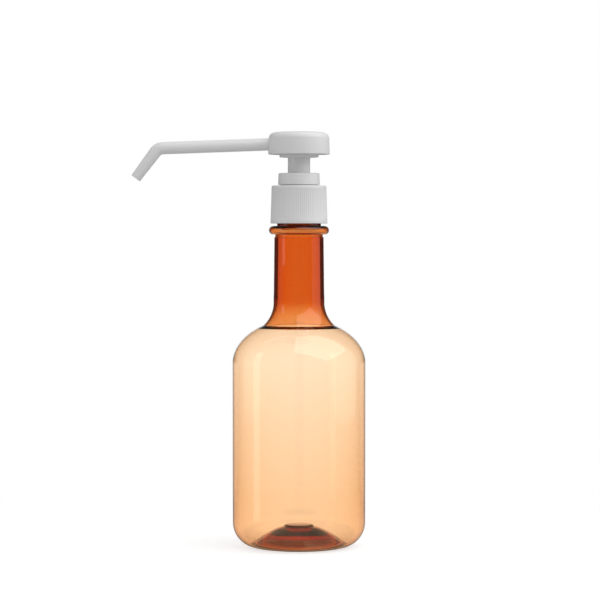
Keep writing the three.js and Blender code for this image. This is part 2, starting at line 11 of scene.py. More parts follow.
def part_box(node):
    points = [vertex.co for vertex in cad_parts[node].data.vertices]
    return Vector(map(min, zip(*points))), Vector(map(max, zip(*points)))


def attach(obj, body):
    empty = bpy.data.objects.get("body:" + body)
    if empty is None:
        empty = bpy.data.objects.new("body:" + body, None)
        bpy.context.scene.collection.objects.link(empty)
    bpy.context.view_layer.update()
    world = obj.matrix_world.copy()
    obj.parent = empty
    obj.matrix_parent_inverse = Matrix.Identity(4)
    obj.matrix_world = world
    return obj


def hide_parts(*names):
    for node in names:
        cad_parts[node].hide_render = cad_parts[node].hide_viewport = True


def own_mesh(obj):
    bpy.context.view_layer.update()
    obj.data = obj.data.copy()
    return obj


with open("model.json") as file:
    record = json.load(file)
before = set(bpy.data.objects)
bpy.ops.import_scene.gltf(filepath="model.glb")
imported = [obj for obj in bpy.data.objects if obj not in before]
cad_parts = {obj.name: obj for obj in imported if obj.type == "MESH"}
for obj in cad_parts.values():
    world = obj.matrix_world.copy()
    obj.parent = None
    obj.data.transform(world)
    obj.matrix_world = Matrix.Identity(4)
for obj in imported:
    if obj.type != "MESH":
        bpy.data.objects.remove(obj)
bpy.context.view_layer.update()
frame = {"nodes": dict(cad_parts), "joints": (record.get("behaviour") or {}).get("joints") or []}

# Bottle: one stretch-blown piece of clear amber PET, thin in the body and thick in the neck, where
# the moulded preform hardly stretches. The base is pushed up into a dome round the moulding gate,
# and the finish above the bead carries one and a half turns of thread.
MM = 0.001
FLOAT = "NodeSocketFloat"
COUNT = "NodeSocketInt"
PLACE = "NodeSocketVector"
WELD = 1e-6
SHARP = math.radians(32)
WHITE = (1, 1, 1, 1)


class Wire:
    """A socket in a node tree. Arithmetic on it adds the Math nodes that work the sum out."""

    def __init__(self, tree, socket=None):
        self.tree = tree
        self.socket = socket

    def node(self, kind, settings=None, values=None):
        """A new node with its settings and the values or links of its sockets: its first output."""
        made = self.tree.nodes.new(kind)
        for name, value in (settings or {}).items():
            setattr(made, name, value)
        for name, value in (values or {}).items():
            if isinstance(value, Wire):
                self.tree.links.new(value.socket, made.inputs[name])
            else:
                made.inputs[name].default_value = value
        return Wire(self.tree, made.outputs[0]) if made.outputs else None

    def __getitem__(self, name):
        return Wire(self.tree, self.socket.node.outputs[name])

    def math(self, operation, *values, clamped=False):
        """A Math node on these values."""
        return self.node(
            "ShaderNodeMath",
            {"operation": operation, "use_clamp": clamped},
            dict(enumerate(values)),
        )

    def split(self):
        """The x, y and z of this vector."""
        return self.node("ShaderNodeSeparateXYZ", values={"Vector": self})

    def share(self, low, high):
        """How far this value is on its way from low to high, held between 0 and 1."""
        return self.math("DIVIDE", self - low, high - low, clamped=True)

    def between(self, low, high):
        """This value, which runs from 0 to 1, made to run from low to high."""
        return self * (high - low) + low

    def __add__(self, other):
        return self.math("ADD", self, other)

    def __sub__(self, other):
        return self.math("SUBTRACT", self, other)

    def __rsub__(self, other):
        return self.math("SUBTRACT", other, self)

    def __mul__(self, other):
        return self.math("MULTIPLY", self, other)

    def __truediv__(self, other):
        return self.math("DIVIDE", self, other)

    __radd__ = __add__
    __rmul__ = __mul__


def new_tree(name, sizes):
    """A Geometry Nodes tree with named inputs: the wire of its group input."""
    tree = bpy.data.node_groups.new(name, "GeometryNodeTree")
    inputs = {"Geometry": "NodeSocketGeometry", **sizes, "Material": "NodeSocketMaterial"}
    for label, kind in inputs.items():
        tree.interface.new_socket(label, in_out="INPUT", socket_type=kind)
    tree.interface.new_socket("Geometry", in_out="OUTPUT", socket_type="NodeSocketGeometry")
    return Wire(tree).node("NodeGroupInput")


def close_tree(start, geometry):
    """Ends a tree with plain geometry in its material."""
    plain = start.node("GeometryNodeRealizeInstances", values={"Geometry": geometry})
    coated = start.node(
        "GeometryNodeSetMaterial", values={"Geometry": plain, "Material": start["Material"]}
    )
    start.node("NodeGroupOutput", values={"Geometry": coated})
    return start.tree


def lathe_tree():
    """Turns a row of outline points (radius, 0, height) about the bottle's axis."""
    start = new_tree("turned_on_its_axis", {"Sides": COUNT})
    size = start.node(
        "GeometryNodeAttributeDomainSize",
        {"component": "MESH"},
        {"Geometry": start["Geometry"]},
    )
    rows = size["Point Count"]
    grid = start.node(
        "GeometryNodeMeshGrid",
        values={"Size X": 1, "Size Y": 1, "Vertices X": start["Sides"] + 1, "Vertices Y": rows},
    )
    place = start.node("GeometryNodeInputPosition")
    spot = place.split()
    row = start.math("ROUND", (spot["Y"] + 0.5) * (rows - 1))
    angle = (spot["X"] + 0.5) * math.tau
    drawn = start.node(
        "GeometryNodeSampleIndex",
        {"data_type": "FLOAT_VECTOR", "domain": "POINT"},
        {"Geometry": start["Geometry"], "Value": place, "Index": row},
    )
    outline = drawn.split()
    turned_place = start.node(
        "ShaderNodeCombineXYZ",
        values={
            "X": outline["X"] * start.math("COSINE", angle),
            "Y": outline["X"] * start.math("SINE", angle),
            "Z": outline["Z"],
        },
    )
    skin = start.node(
        "GeometryNodeSetPosition", values={"Geometry": grid, "Position": turned_place}
    )
    closed = start.node(
        "GeometryNodeMergeByDistance", values={"Geometry": skin, "Distance": WELD}
    )
    return close_tree(start, closed)


def radial_parts(start):
    """The position's x, y and height, its distance from the axis and its turn from 0 to 1."""
    spot = start.node("GeometryNodeInputPosition").split()
    radius = start.math("SQRT", spot["X"] * spot["X"] + spot["Y"] * spot["Y"])
    turn = start.math("FRACT", start.math("ARCTAN2", spot["Y"], spot["X"]) / math.tau)
    return spot, radius, turn


def push_out(start, spot, radius, grow):
    """Moves each point away from the axis."""
    offset = start.node(
        "ShaderNodeCombineXYZ",
        values={"X": spot["X"] / radius * grow, "Y": spot["Y"] / radius * grow},
    )
    return start.node(
        "GeometryNodeSetPosition", values={"Geometry": start["Geometry"], "Offset": offset}
    )


def thread_tree():
    """Raises a thread ridge on a round wall. It fades in and out over its run-out, in turns."""
    sizes = ("Wall", "Reach", "Pitch", "Start", "Turns", "Root", "Crest", "Run Out")
    start = new_tree("thread_ridge", dict.fromkeys(sizes, FLOAT))
    spot, radius, turn = radial_parts(start)
    climbed = (spot["Z"] - start["Start"]) / start["Pitch"] - turn
    whole = start.math("ROUND", climbed)
    away = start.math("ABSOLUTE", climbed - whole) * start["Pitch"]
    along = turn + whole
    to_end = start.math("MINIMUM", along, start["Turns"] - along)
    faded = start.math("DIVIDE", to_end, start["Run Out"], clamped=True)
    slope = (start["Root"] - start["Crest"]) / 2
    flank = start.math("DIVIDE", start["Root"] / 2 - away, slope, clamped=True)
    on_wall = start.math("COMPARE", radius, start["Wall"], WELD)
    raised = push_out(start, spot, radius, start["Reach"] * faded * flank * on_wall)
    return close_tree(start, raised)


def grown(name, mesh, material, *steps):
    """A piece grown from a seed mesh by Geometry Nodes trees with their sizes, as a plain mesh."""
    piece = bpy.data.objects.new(name, mesh)
    bpy.context.scene.collection.objects.link(piece)
    for tree, sizes in steps:
        modifier = piece.modifiers.new(tree.name, "NODES")
        modifier.node_group = tree
        for socket in tree.interface.items_tree:
            if socket.in_out == "INPUT" and socket.name in sizes:
                modifier[socket.identifier] = sizes[socket.name]
            if socket.name == "Material":
                modifier[socket.identifier] = material
    settle(piece)
    return piece


def settle(piece):
    """Turns a piece's modifiers into a plain mesh of one material, smooth but for sharp edges."""
    evaluated = piece.evaluated_get(bpy.context.evaluated_depsgraph_get())
    mesh = bpy.data.meshes.new_from_object(evaluated)
    coat = next(material for material in mesh.materials if material)
    mesh.materials.clear()
    mesh.materials.append(coat)
    piece.modifiers.clear()
    piece.data = mesh
    mesh.name = piece.name
    mesh.shade_smooth()
    mesh.set_sharp_from_angle(angle=SHARP)


def outline_mesh(name, points):
    """The seed of a turned piece: its outline, closed on itself unless it ends on the axis."""
    row = [(radius, 0, height) for radius, height in points]
    if row[-1][0] > WELD:
        row.append(row[0])
    mesh = bpy.data.meshes.new(name)
    mesh.from_pydata(row, [], [])
    return mesh


lathe = lathe_tree()
thread_cutter = thread_tree()


def turned(name, points, material, sides, *steps):
    """A piece turned from its outline, which runs anticlockwise in the (radius, height) plane."""
    return grown(name, outline_mesh(name, points), material, (lathe, {"Sides": sides}), *steps)


def arc(centre, sizes, start, end, steps):
    """Points of an elliptic arc in the (radius, height) plane, angles in degrees."""
    turns = [math.radians(start + (end - start) * step / steps) for step in range(steps + 1)]
    return [
        (centre[0] + sizes[0] * math.cos(turn), centre[1] + sizes[1] * math.sin(turn))
        for turn in turns
    ]


def sweep(start, leave, arrive, end, steps):
    """Points of a smooth curve that leaves and arrives along its two handles."""
    knots = [Vector(point) for point in (start, leave, arrive, end)]
    return [tuple(point) for point in interpolate_bezier(*knots, steps + 1)]


def level_rows(start, end, gap):
    """Points up a straight wall, close enough together to carry a thread."""
    count = math.ceil(abs(end[1] - start[1]) / gap)
    low, high = Vector(start), Vector(end)
    return [tuple(low.lerp(high, row / count)) for row in range(count + 1)]


HELD = 0.02


def held(start, end):
    """Two rows close to the ends of a straight wall, which keep its shading straight."""
    low, high = Vector(start), Vector(end)
    return [tuple(low.lerp(high, share)) for share in (HELD, 1 - HELD)]


# Handles at this share of the way to a corner make the curve round.
ROUND = 0.552
EASE_STEPS = 4


def eased(corners):
    """An outline whose corners (radius, height, ease) are rounded. One with no ease stays sharp."""
    points = []
    for place, (radius, height, *ease) in enumerate(corners):
        here = Vector((radius, height))
        if not ease:
            points.append((radius, height))
            continue
        before = Vector(corners[place - 1][:2])
        after = Vector(corners[(place + 1) % len(corners)][:2])
        knots = [here + (side - here).normalized() * ease[0] for side in (before, after)]
        handles = [knot.lerp(here, ROUND) for knot in knots]
        curve = interpolate_bezier(knots[0], *handles, knots[1], EASE_STEPS + 1)
        points += [tuple(point) for point in curve]
    return points


bottle_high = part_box("bottle")[1]
body_radius = bottle_high.x
mouth_height = bottle_high.z
heel_radius = 14 * MM
side_height = 91.1 * MM
shoulder_rise = 25.5 * MM
upper_wall = 0.35 * MM
lower_wall = 0.6 * MM

foot_land = 1.6 * MM
dome_height = 8.6 * MM
dome_flat = 12 * MM
dome_foot_rise = 4.5 * MM
dome_foot_lean = 1.8 * MM
base_thickness = 2.8 * MM
base_rim_angle = 75
base_rim_ease = 0.2 * MM
base_cone_lean = 4 * MM
base_cone_rise = 3.3 * MM
base_shoulder = 6 * MM
base_shoulder_drop = 0.8 * MM
pad_radius = 8.6 * MM
pad_height = 1.2 * MM
pad_edge = 1.15 * MM

finish_radius = 12.55 * MM
finish_height = 18.5 * MM
mouth_bore = 10.85 * MM
mouth_edge = 0.4 * MM
bead_radius = 2.43 * MM
bead_wall = 1.3 * MM
bead_ease = 0.5 * MM
bead_hollow = 1.4 * MM
bead_drop = 0.1 * MM
bead_ledge = 0.8 * MM
bead_stand = 2.2 * MM
neck_step = 1.55 * MM
neck_taper = 0.4 * MM
neck_wall = 2.2 * MM
groove_depth = 0.5 * MM
groove_height = 1.6 * MM
groove_rise = 0.15 * MM
groove_ease = 0.12 * MM
flare_radius = 18.4 * MM
flare_spread = 5.8 * MM
root_wall = 1.15 * MM
root_lip = 2.5 * MM
crease_ease = 0.25 * MM

thread_pitch = 4.233 * MM
thread_depth = 1.1 * MM
thread_root = 2 * MM
thread_crest = 0.9 * MM
thread_turns = 1.5
thread_run_out = 30 / 360
thread_drop = 3.6 * MM
thread_rows = 0.3 * MM

bottle_sides = 192
dome_rows = 24
heel_rows = 24
inner_heel_rows = 18
shoulder_rows = 28
flare_rows = 18
bead_rows = 20
hollow_rows = 14

side_top = heel_radius + side_height
contact_radius = body_radius - heel_radius
foot_inner = contact_radius - foot_land
bead_centre_radius = finish_radius + bead_stand
neck_top_radius = finish_radius + neck_step
neck_base_radius = neck_top_radius + neck_taper
neck_root = neck_base_radius + flare_spread
crease_angle = math.degrees(math.acos(neck_root / body_radius))
crease_height = side_top + shoulder_rise * math.sin(math.radians(crease_angle))
flare_angle = math.degrees(math.acos(1 - flare_spread / flare_radius))
flare_top = crease_height + flare_radius * math.sin(math.radians(flare_angle))
bead_top = mouth_height - finish_height
bead_centre = (bead_centre_radius, bead_top - bead_radius)
bead_bottom = bead_top - 2 * bead_radius
neck_top = bead_bottom - groove_height
thread_start = mouth_height - thread_drop - thread_turns * thread_pitch

heel_centre = (contact_radius, heel_radius)
hollow_centre = (
    bead_centre_radius + bead_radius - bead_wall - bead_hollow, bead_centre[1] - bead_drop
)
inner_neck = neck_base_radius - neck_wall
flare_centre = (neck_base_radius + flare_radius, flare_top)
flare_turn = math.radians(flare_angle)
flare_level = math.cos(flare_turn)
inner_flare = flare_radius + (neck_wall - root_wall * flare_level) / (1 - flare_level)
inner_flare_centre = (
    inner_neck + inner_flare,
    flare_top + (inner_flare - flare_radius - root_wall) * math.sin(flare_turn),
)
inner_shoulder = (body_radius - upper_wall, shoulder_rise - upper_wall)
inner_heel = heel_radius - lower_wall
lip_angle = math.degrees(math.acos((neck_root + root_lip) / inner_shoulder[0]))
ledge_angle = math.degrees(math.asin((bead_ledge + bead_drop) / bead_hollow))
heel_inside = arc(heel_centre, (inner_heel, inner_heel), 0, -base_rim_angle, inner_heel_rows)
rim_foot = heel_inside.pop()
pad_foot = dome_height + base_thickness
base_top = sweep(
    rim_foot,
    (rim_foot[0] - base_cone_lean, rim_foot[1] + base_cone_rise),
    (pad_radius + base_shoulder, pad_foot - base_shoulder_drop),
    (pad_radius, pad_foot),
    dome_rows,
)
pad_top = pad_foot + pad_height
dome_handle = (foot_inner - dome_foot_lean, dome_foot_rise)
bottle_outline = eased(
    sweep((0, dome_height), (dome_flat, dome_height), dome_handle, (foot_inner, 0), dome_rows)
    + arc(heel_centre, (heel_radius, heel_radius), -90, 0, heel_rows)
    + held((body_radius, heel_radius), (body_radius, side_top))
    + arc((0, side_top), (body_radius, shoulder_rise), 0, crease_angle, shoulder_rows)[:-1]
    + [(neck_root, crease_height, crease_ease)]
    + arc(flare_centre, (flare_radius, flare_radius), 180 + flare_angle, 180, flare_rows)[1:]
    + held((neck_base_radius, flare_top), (neck_top_radius, neck_top))
    + [
        (neck_top_radius, neck_top, groove_ease),
        (neck_top_radius - groove_depth, neck_top + groove_rise, groove_ease),
        (neck_top_radius - groove_depth, bead_bottom),
    ]
    + arc(bead_centre, (bead_radius, bead_radius), -90, 90, bead_rows)
    + level_rows((finish_radius, bead_top), (finish_radius, mouth_height - mouth_edge), thread_rows)
    + [
        (finish_radius - mouth_edge, mouth_height),
        (mouth_bore, mouth_height, mouth_edge),
        (mouth_bore, bead_centre[1] + bead_ledge, bead_ease),
    ]
    + arc(hollow_centre, (bead_hollow, bead_hollow), ledge_angle, -90, hollow_rows)
    + [(neck_top_radius - neck_wall, hollow_centre[1] - bead_hollow, bead_ease)]
    + held((neck_top_radius - neck_wall, neck_top), (inner_neck, inner_flare_centre[1]))
    + arc(inner_flare_centre, (inner_flare, inner_flare), 180, 180 + flare_angle, flare_rows)
    + arc((0, side_top), inner_shoulder, lip_angle, 0, shoulder_rows)
    + held((body_radius - upper_wall, side_top), (body_radius - lower_wall, heel_radius))
    + heel_inside
    + [(*rim_foot, base_rim_ease)]
    + base_top[1:]
    + [
        (pad_radius, pad_top, pad_edge),
        (0, pad_top),
    ]
)


def new_material(name):
    """An empty material and the first wire of its tree."""
    material = bpy.data.materials.new(name)
    material.use_nodes = True
    material.node_tree.nodes.clear()
    return material, Wire(material.node_tree)


def noise(start, scale, detail):
    """Noise in a piece's own space."""
    place = start.node("ShaderNodeTexCoord")["Object"]
    return start.node(
        "ShaderNodeTexNoise", values={"Vector": place, "Scale": scale, "Detail": detail}
    )


pet_colour = (0.905, 0.572, 0.15, 1)
pet_density = 1300


def amber_pet():
    """Clear amber PET. Its colour comes from the depth of plastic that the light passes."""
    material, start = new_material("amber_pet")
    ripple = noise(start, scale=45, detail=1)
    haze = noise(start, scale=240, detail=3)
    bump = start.node(
        "ShaderNodeBump", values={"Strength": 0.25, "Distance": 0.02 * MM, "Height": ripple}
    )
    surface = start.node(
        "ShaderNodeBsdfPrincipled",
        values={
            "Base Color": WHITE,
            "Roughness": haze.between(0.003, 0.011),
            "IOR": 1.575,
            "Transmission Weight": 1,
            "Normal": bump,
        },
    )
    depth = start.node(
        "ShaderNodeVolumeAbsorption", values={"Color": pet_colour, "Density": pet_density}
    )
    start.node("ShaderNodeOutputMaterial", values={"Surface": surface, "Volume": depth})
    return material


bottle_thread = {
    "Wall": finish_radius,
    "Reach": thread_depth,
    "Pitch": thread_pitch,
    "Start": thread_start,
    "Turns": thread_turns,
    "Root": thread_root,
    "Crest": thread_crest,
    "Run Out": thread_run_out,
}
bottle = turned(
    "bottle_shell", bottle_outline, amber_pet(), bottle_sides, (thread_cutter, bottle_thread)
)
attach(bottle, "bottle")
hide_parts("bottle")

# Dip tube: a length of clear extruded tube, pushed into the foot of the pump and cut slanting, so
# that it can't seal itself on the bottle's base.
tube_wall = 0.7 * MM
tube_ease = 0.1 * MM
tube_cut_angle = 40
tube_sides = 48
tube_colour = (0.9, 0.9, 0.88, 1)
tube_low, tube_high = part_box("dip_tube")
tube_radius = tube_high.y


def clear_tube():
    """Clear extruded plastic, so thin that it hardly shows, with faint draw lines along it."""
    material, start = new_material("clear_tube")
    place = start.node("ShaderNodeTexCoord")["Object"]
    drawn = start.node("ShaderNodeMapping", values={"Vector": place, "Scale": (900, 900, 8)})
    lines = start.node("ShaderNodeTexNoise", values={"Vector": drawn, "Scale": 1, "Detail": 2})
    surface = start.node(
        "ShaderNodeBsdfPrincipled",
        values={
            "Base Color": tube_colour,
            "Roughness": lines.between(0.15, 0.25),
            "IOR": 1.2,
            "Alpha": lines.between(0.006, 0.012),
        },
    )
    start.node("ShaderNodeOutputMaterial", values={"Surface": surface})
    return material


def ring(inner, outer, bottom, top, ease):
    """The outline of a plain ring with eased corners."""
    corners = [(inner, bottom), (outer, bottom), (outer, top), (inner, top)]
    return eased([(*corner, ease) for corner in corners])


def cut(piece, *cutters):
    """Cuts other pieces out of a piece and takes them away."""
    for cutter in cutters:
        modifier = piece.modifiers.new("cut", "BOOLEAN")
        modifier.operation = "DIFFERENCE"
        modifier.solver = "EXACT"
        modifier.object = cutter
    bpy.context.view_layer.update()
    settle(piece)
    for cutter in cutters:
        bpy.data.objects.remove(cutter)


def slab(name, sizes, centre, tilt=0):
    """A block about a centre, tilted about Y, for cutting."""
    corners = [(x, y, z) for x in (-0.5, 0.5) for y in (-0.5, 0.5) for z in (-0.5, 0.5)]
    faces = [(0, 1, 3, 2), (4, 6, 7, 5), (0, 4, 5, 1), (2, 3, 7, 6), (0, 2, 6, 4), (1, 5, 7, 3)]
    mesh = bpy.data.meshes.new(name)
    mesh.from_pydata([Vector(corner) * Vector(sizes) for corner in corners], [], faces)
    mesh.transform(Matrix.Translation(centre) @ Matrix.Rotation(math.radians(tilt), 4, "Y"))
    block = bpy.data.objects.new(name, mesh)
    bpy.context.scene.collection.objects.link(block)
    return block


tube_ring = ring(tube_radius - tube_wall, tube_radius, tube_low.z, tube_high.z, tube_ease)
dip_tube = turned("dip_tube_clear", tube_ring, clear_tube(), tube_sides)
block_reach = 2 * tube_radius
cut_turn = math.radians(tube_cut_angle)
cut_middle = tube_low.z + tube_radius * math.tan(cut_turn)
block_centre = (
    -block_reach * math.sin(cut_turn), 0, cut_middle - block_reach * math.cos(cut_turn)
)
cut(dip_tube, slab("tube_foot", [2 * block_reach] * 3, block_centre, tube_cut_angle))
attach(dip_tube, "pump_body")
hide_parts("dip_tube")

# Pump cylinder and gasket: a natural polypropylene barrel that hangs in the neck by its flange, and
# the soft ring that the closure squeezes between that flange and the bottle's rim.
cylinder_low, cylinder_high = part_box("cylinder")
gasket_low, gasket_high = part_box("gasket")
barrel_radius = 8.7 * MM
bore_radius = 7.5 * MM
inlet_hole = 1.75 * MM
socket_depth = 5.3 * MM
socket_wall = 1.5 * MM
floor_thickness = 1.4 * MM
flange_thickness = 1.6 * MM
seat_gap = 0.05 * MM
fit_gap = 0.1 * MM
loose_gap = 0.3 * MM
inner_ease = 0.25 * MM
pump_sides = 96
floor_bottom = cylinder_low.z + socket_depth
floor_top = floor_bottom + floor_thickness
flange_bottom = gasket_high.z + seat_gap
flange_top = flange_bottom + flange_thickness
socket_bore = tube_radius + fit_gap
socket_radius = socket_bore + socket_wall

# A Mix node's colour sockets go by number: its other kinds of socket have the same names.
mix_dark = 6
mix_light = 7
mix_colour = 2
tone_spread = 0.03
gloss_spread = 0.06


def moulded_plastic(name, tone, roughness, grain, grain_depth):
    """Opaque moulded plastic: a faint grain, and a gloss that varies a little with the mould."""
    material, start = new_material(name)
    cloud = noise(start, scale=70, detail=2)
    speck = noise(start, scale=grain, detail=3)
    light = [part * (1 + tone_spread) for part in tone]
    dark = [part * (1 - tone_spread) for part in tone]
    colour = start.node(
        "ShaderNodeMix",
        {"data_type": "RGBA"},
        {"Factor": cloud, mix_dark: (*dark, 1), mix_light: (*light, 1)},
    )[mix_colour]
    bump = start.node(
        "ShaderNodeBump", values={"Strength": 0.4, "Distance": grain_depth, "Height": speck}
    )
    surface = start.node(
        "ShaderNodeBsdfPrincipled",
        values={
            "Base Color": colour,
            "Roughness": cloud.between(roughness - gloss_spread, roughness + gloss_spread),
            "IOR": 1.49,
            "Normal": bump,
        },
    )
    start.node("ShaderNodeOutputMaterial", values={"Surface": surface})
    return material


natural_pp = moulded_plastic(
    "natural_pp", tone=(0.78, 0.78, 0.76), roughness=0.5, grain=2200, grain_depth=0.02 * MM
)
soft_seal = moulded_plastic(
    "soft_seal", tone=(0.84, 0.83, 0.79), roughness=0.65, grain=1500, grain_depth=0.03 * MM
)
cylinder_outline = eased([
    (inlet_hole, floor_bottom),
    (socket_bore, floor_bottom),
    (socket_bore, cylinder_low.z, inner_ease),
    (socket_radius, cylinder_low.z, inner_ease),
    (socket_radius, floor_bottom, inner_ease),
    (barrel_radius, floor_bottom, inner_ease),
    (barrel_radius, flange_bottom, inner_ease),
    (cylinder_high.x, flange_bottom, inner_ease),
    (cylinder_high.x, flange_top, inner_ease),
    (barrel_radius, flange_top, inner_ease),
    (barrel_radius, cylinder_high.z, inner_ease),
    (bore_radius, cylinder_high.z, inner_ease),
    (bore_radius, floor_top, inner_ease),
    (inlet_hole, floor_top, inner_ease),
])
cylinder = turned("cylinder_barrel", cylinder_outline, natural_pp, pump_sides)
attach(cylinder, "pump_body")
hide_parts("cylinder")
gasket_bore = barrel_radius + loose_gap
gasket_ring = ring(gasket_bore, gasket_high.x, gasket_low.z, gasket_high.z, inner_ease)
gasket = turned("gasket_ring", gasket_ring, soft_seal, pump_sides)
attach(gasket, "pump_body")
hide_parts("gasket")

# Valves: two ground glass balls. The lower one sits on the cylinder's floor under a slotted cage,
# which keeps its CAD shape, and the upper one on top of the plunger.
ball_rows = 24
ball_sides = 48
glass_colour = (0.93, 0.97, 0.96, 1)


def ground_glass():
    """Ground glass: clear, with a fine grind that dulls it."""
    material, start = new_material("ground_glass")
    grind = noise(start, scale=4000, detail=2)
    surface = start.node(
        "ShaderNodeBsdfPrincipled",
        values={
            "Base Color": glass_colour,
            "Roughness": grind.between(0.1, 0.3),
            "IOR": 1.5,
            "Transmission Weight": 1,
        },
    )
    start.node("ShaderNodeOutputMaterial", values={"Surface": surface})
    return material


valve_glass = ground_glass()
for valve in ("inlet", "outlet"):
    ball_low, ball_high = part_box(f"{valve}_ball")
    ball_size = (ball_high.z - ball_low.z) / 2
    ball_middle = (0, ball_low.z + ball_size)
    half_round = arc(ball_middle, (ball_size, ball_size), -90, 90, ball_rows)
    half_round[0] = (0, ball_low.z)
    half_round[-1] = (0, ball_high.z)
    ball = turned(f"{valve}_valve_ball", half_round, valve_glass, ball_sides)
    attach(ball, f"{valve}_ball")
    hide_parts(f"{valve}_ball")
cage_slots = frame["nodes"]["ball_cage"].data.materials
cage_slots.clear()
cage_slots.append(natural_pp)

# Return spring: drawn stainless wire, wound round the cage between the cylinder's floor and the
# piston.
spring_low, spring_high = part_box("return_spring")
spring_wire = 0.9 * MM
spring_turns = 6
spring_radius = 5.6 * MM
steel_colour = (0.62, 0.63, 0.65, 1)
stroke = next(joint for joint in frame["joints"] if joint["name"] == "pump_stroke")["range_m"][1]


def spring_tree():
    """Winds a round wire up a helix."""
    sizes = dict.fromkeys(("Turns", "Radius", "Height", "Wire"), FLOAT)
    start = new_tree("wound_wire", {**sizes, "Foot": PLACE})
    helix = start.node(
        "GeometryNodeCurveSpiral",
        values={
            "Resolution": 48,
            "Rotations": start["Turns"],
            "Start Radius": start["Radius"],
            "End Radius": start["Radius"],
            "Height": start["Height"],
        },
    )
    section = start.node(
        "GeometryNodeCurvePrimitiveCircle",
        values={"Resolution": 16, "Radius": start["Wire"] / 2},
    )
    wire = start.node(
        "GeometryNodeCurveToMesh",
        values={"Curve": helix, "Profile Curve": section, "Fill Caps": True},
    )
    stood = start.node(
        "GeometryNodeSetPosition", values={"Geometry": wire, "Offset": start["Foot"]}
    )
    return close_tree(start, stood)


def drawn_steel():
    """Drawn stainless wire: bright, with streaks along the draw."""
    material, start = new_material("spring_steel")
    streak = noise(start, scale=1800, detail=2)
    surface = start.node(
        "ShaderNodeBsdfPrincipled",
        values={"Base Color": steel_colour, "Metallic": 1, "Roughness": streak.between(0.2, 0.4)},
    )
    start.node("ShaderNodeOutputMaterial", values={"Surface": surface})
    return material


spring_sizes = {
    "Turns": spring_turns,
    "Radius": spring_radius,
    "Height": spring_high.z - spring_low.z - spring_wire,
    "Wire": spring_wire,
    "Foot": (0, 0, spring_low.z + spring_wire / 2),
}
spring_seed = bpy.data.meshes.new("spring_coil")
spring = grown("spring_coil", spring_seed, drawn_steel(), (spring_tree(), spring_sizes))
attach(spring, "pump_body")
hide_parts("return_spring")
spring_keep = 1 - stroke / (spring_high.z - spring_low.z)
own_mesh(spring)

# Piston and plunger: a soft ring with a wiping lip at each end, and the hollow pin that holds it
# under the stem. The plunger's flange sits in a hollow under the piston.
piston_low, piston_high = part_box("piston")
plunger_low, plunger_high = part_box("plunger")
piston_lip = 1 * MM
piston_waist = 0.6 * MM
channel_radius = 1.8 * MM
plunger_radius = 4.2 * MM
plunger_flange = 1 * MM
running_gap = 0.05 * MM
plunger_sides = 64
lip_radius = piston_high.x
waist_radius = lip_radius - piston_waist
hollow_radius = plunger_high.x + running_gap
hollow_top = plunger_low.z + plunger_flange + seat_gap
piston_outline = eased([
    (hollow_radius, piston_low.z),
    (lip_radius, piston_low.z, inner_ease),
    (lip_radius, piston_low.z + piston_lip, inner_ease),
    (waist_radius, piston_low.z + piston_lip + piston_waist, inner_ease),
    (waist_radius, piston_high.z - piston_lip - piston_waist, inner_ease),
    (lip_radius, piston_high.z - piston_lip, inner_ease),
    (lip_radius, piston_high.z, inner_ease),
    (plunger_radius + running_gap, piston_high.z),
    (plunger_radius + running_gap, hollow_top),
    (hollow_radius, hollow_top),
])
piston = turned("piston_ring", piston_outline, soft_seal, pump_sides)
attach(piston, "piston")
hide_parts("piston")
plunger_outline = eased([
    (channel_radius, plunger_low.z),
    (plunger_high.x, plunger_low.z),
    (plunger_high.x, plunger_low.z + plunger_flange),
    (plunger_radius, plunger_low.z + plunger_flange),
    (plunger_radius, plunger_high.z, inner_ease),
    (channel_radius, plunger_high.z, inner_ease),
])
plunger = turned("plunger_pin", plunger_outline, natural_pp, plunger_sides)
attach(plunger, "head")
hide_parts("plunger")

# Closure: an injection-moulded white screw cap, open in the middle for the pump. Fine grip ribs run
# up its skirt between two plain bands, and its thread works half a pitch from the bottle's.
closure_low, closure_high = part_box("closure")
closure_flare = 0.65 * MM
closure_wall = 1.45 * MM
closure_edge = 0.7 * MM
closure_foot_ease = 0.3 * MM
closure_thread_turns = 1.25
rib_count = 84
rib_points = 6
rib_depth = 0.2 * MM
rib_bottom_band = 2.6 * MM
rib_top_band = 1.9 * MM
rib_run_out = 0.4 * MM
closure_hole = 10.9 * MM
closure_top_radius = closure_high.x - closure_flare
cavity_radius = closure_top_radius - closure_wall
closure_ceiling = flange_top + seat_gap
cavity_foot = closure_low.z + closure_foot_ease
rib_bottom = closure_low.z + rib_bottom_band
rib_top = closure_high.z - rib_top_band


def rib_tree():
    """Presses round grooves into a round wall, which leaves the ribs between them."""
    sizes = dict.fromkeys(("Wall", "Depth", "Bottom", "Top", "Run Out"), FLOAT)
    start = new_tree("grip_ribs", {**sizes, "Count": COUNT})
    spot, radius, turn = radial_parts(start)
    wave = 0.5 - 0.5 * start.math("COSINE", turn * start["Count"] * math.tau)
    rise = start.math("DIVIDE", spot["Z"] - start["Bottom"], start["Run Out"], clamped=True)
    fall = start.math("DIVIDE", start["Top"] - spot["Z"], start["Run Out"], clamped=True)
    outside = start.math("GREATER_THAN", radius, start["Wall"])
    pressed = push_out(start, spot, radius, start["Depth"] * wave * rise * fall * outside * -1)
    return close_tree(start, pressed)


def skirt_radius(height):
    """The closure's outer radius, which widens a little downwards."""
    share = (height - closure_low.z) / (closure_high.z - closure_low.z)
    return closure_high.x - closure_flare * share


